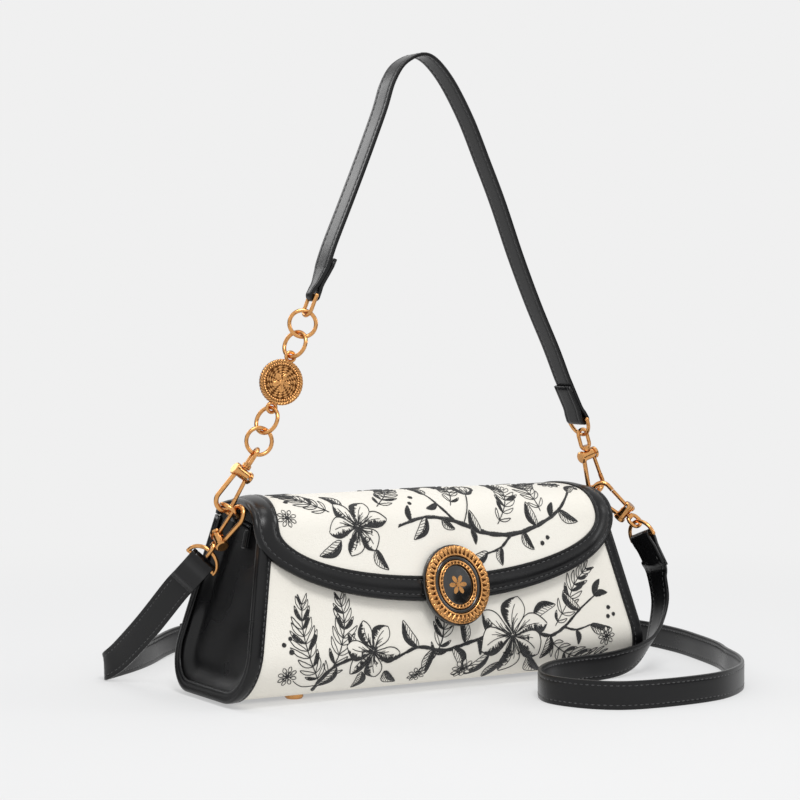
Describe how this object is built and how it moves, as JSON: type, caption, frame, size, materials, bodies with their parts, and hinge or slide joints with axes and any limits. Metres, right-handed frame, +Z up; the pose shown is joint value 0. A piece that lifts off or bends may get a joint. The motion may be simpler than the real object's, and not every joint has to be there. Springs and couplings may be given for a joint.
{
  "type": "baguette bag",
  "caption": "Long baguette bag with a curved magnetic flap and oval medallion, a short strap with a chain and coin, and a long clip-on strap.",
  "frame": {"origin": "middle of the four stud feet, on the floor", "axes": "+X along the bag towards its own right as seen from the front, -Y out of the front face, +Z up"},
  "size_m": [0.3451, 0.3369, 0.3484],
  "materials": {
    "ivory_leather": "fine grain, matt",
    "black_leather": "smooth, semi-matt",
    "bronze_metal": "antiqued, polished high points",
    "black_enamel": "gloss",
    "lining_fabric": "matt weave",
    "stiff_board": "matt",
    "plain_steel": "satin"
  },
  "bodies": {
    "bag": {"front_panel": "ivory_leather", "base_panel": "black_leather", "back_panel": "ivory_leather", "left_gusset": "black_leather", "right_gusset": "black_leather", "left_gusset_binding": "black_leather", "right_gusset_binding": "black_leather", "lining": "lining_fabric", "base_board": "stiff_board", "feet": "bronze_metal", "lock_base": "plain_steel", "left_ring_tab": "black_leather", "right_ring_tab": "black_leather", "left_side_ring": "bronze_metal", "right_side_ring": "bronze_metal", "left_lower_hook": "bronze_metal", "right_lower_hook": "bronze_metal", "lower_gate_pins": "plain_steel", "left_d_ring": "bronze_metal", "right_d_ring": "bronze_metal", "long_strap": "black_leather", "strap_keeper": "black_leather"},
    "flap": {"flap_panel": "ivory_leather", "flap_lining": "black_leather", "flap_binding": "black_leather", "lock_magnet": "plain_steel", "medallion_plate": "black_enamel", "medallion_frame": "bronze_metal", "medallion_channel": "black_enamel", "medallion_bead_ring": "bronze_metal", "medallion_dome": "black_enamel", "medallion_rosette": "bronze_metal"},
    "carry_strap": {"shoulder_strap": "black_leather", "strap_oval_link": "bronze_metal", "chain_ring_1": "bronze_metal", "chain_ring_2": "bronze_metal", "chain_ring_3": "bronze_metal", "chain_ring_4": "bronze_metal", "strap_d_ring": "bronze_metal", "left_upper_hook": "bronze_metal", "right_upper_hook": "bronze_metal", "upper_gate_pins": "plain_steel"},
    "coin": {"coin_charm": "bronze_metal", "coin_face": "bronze_metal"},
    "left_upper_swivel": {"left_upper_swivel": "bronze_metal"},
    "left_upper_gate": {"left_upper_gate": "bronze_metal"},
    "right_upper_swivel": {"right_upper_swivel": "bronze_metal"},
    "right_upper_gate": {"right_upper_gate": "bronze_metal"},
    "left_lower_swivel": {"left_lower_swivel": "bronze_metal"},
    "left_lower_gate": {"left_lower_gate": "bronze_metal"},
    "right_lower_swivel": {"right_lower_swivel": "bronze_metal"},
    "right_lower_gate": {"right_lower_gate": "bronze_metal"}
  },
  "joints": [
    {"name": "flap_hinge", "type": "hinge", "parent": "bag", "child": "flap", "pos_m": [0, 0.02667, 0.09718], "axis": [-1, 0, 0], "range_deg": [0, 150], "deforming": ["flap_panel", "flap_lining", "flap_binding"]},
    {"name": "strap_swing", "type": "hinge", "parent": "bag", "child": "carry_strap", "pos_m": [0, -0.005, 0.10464], "axis": [1, 0, 0], "range_deg": [0, 26]},
    {"name": "coin_turn", "type": "hinge", "parent": "carry_strap", "child": "coin", "pos_m": [-0.08663, -0.005, 0.16847], "axis": [0.3903, 0, 0.9207], "range_deg": [-5, 20]},
    {"name": "left_upper_gate_press", "type": "hinge", "parent": "carry_strap", "child": "left_upper_gate", "pos_m": [-0.10785, -0.005, 0.11739], "axis": [0, 1, 0], "range_deg": [0, 20], "stiffness_Nm_per_rad": 0.03, "springref_deg": -8.59},
    {"name": "left_upper_swivel_turn", "type": "hinge", "parent": "carry_strap", "child": "left_upper_swivel", "pos_m": [-0.11011, -0.005, 0.1204], "axis": [0.5888, 0, 0.8083], "range_deg": [-25, 25]},
    {"name": "right_upper_gate_press", "type": "hinge", "parent": "carry_strap", "child": "right_upper_gate", "pos_m": [0.1193, -0.005, 0.12324], "axis": [0, 1, 0], "range_deg": [0, 20], "stiffness_Nm_per_rad": 0.03, "springref_deg": -8.59},
    {"name": "right_upper_swivel_turn", "type": "hinge", "parent": "carry_strap", "child": "right_upper_swivel", "pos_m": [0.11554, -0.005, 0.12317], "axis": [-0.3102, 0, 0.9507], "range_deg": [-25, 25]},
    {"name": "left_lower_gate_press", "type": "hinge", "parent": "bag", "child": "left_lower_gate", "pos_m": [-0.12169, 0.00001, 0.08838], "axis": [0.9458, 0.1476, -0.2895], "range_deg": [0, 20], "stiffness_Nm_per_rad": 0.03, "springref_deg": -8.59},
    {"name": "left_lower_swivel_turn", "type": "hinge", "parent": "bag", "child": "left_lower_swivel", "pos_m": [-0.12224, -0.00226, 0.08543], "axis": [-0.3202, 0.5744, -0.7534], "range_deg": [-25, 25]},
    {"name": "right_lower_gate_press", "type": "hinge", "parent": "bag", "child": "right_lower_gate", "pos_m": [0.13132, -0.02178, 0.09388], "axis": [-0.7238, -0.6861, -0.0734], "range_deg": [0, 20], "stiffness_Nm_per_rad": 0.03, "springref_deg": -8.59},
    {"name": "right_lower_swivel_turn", "type": "hinge", "parent": "bag", "child": "right_lower_swivel", "pos_m": [0.13043, -0.02048, 0.09046], "axis": [0.5511, -0.5107, -0.6599], "range_deg": [-25, 25]}
  ]
}
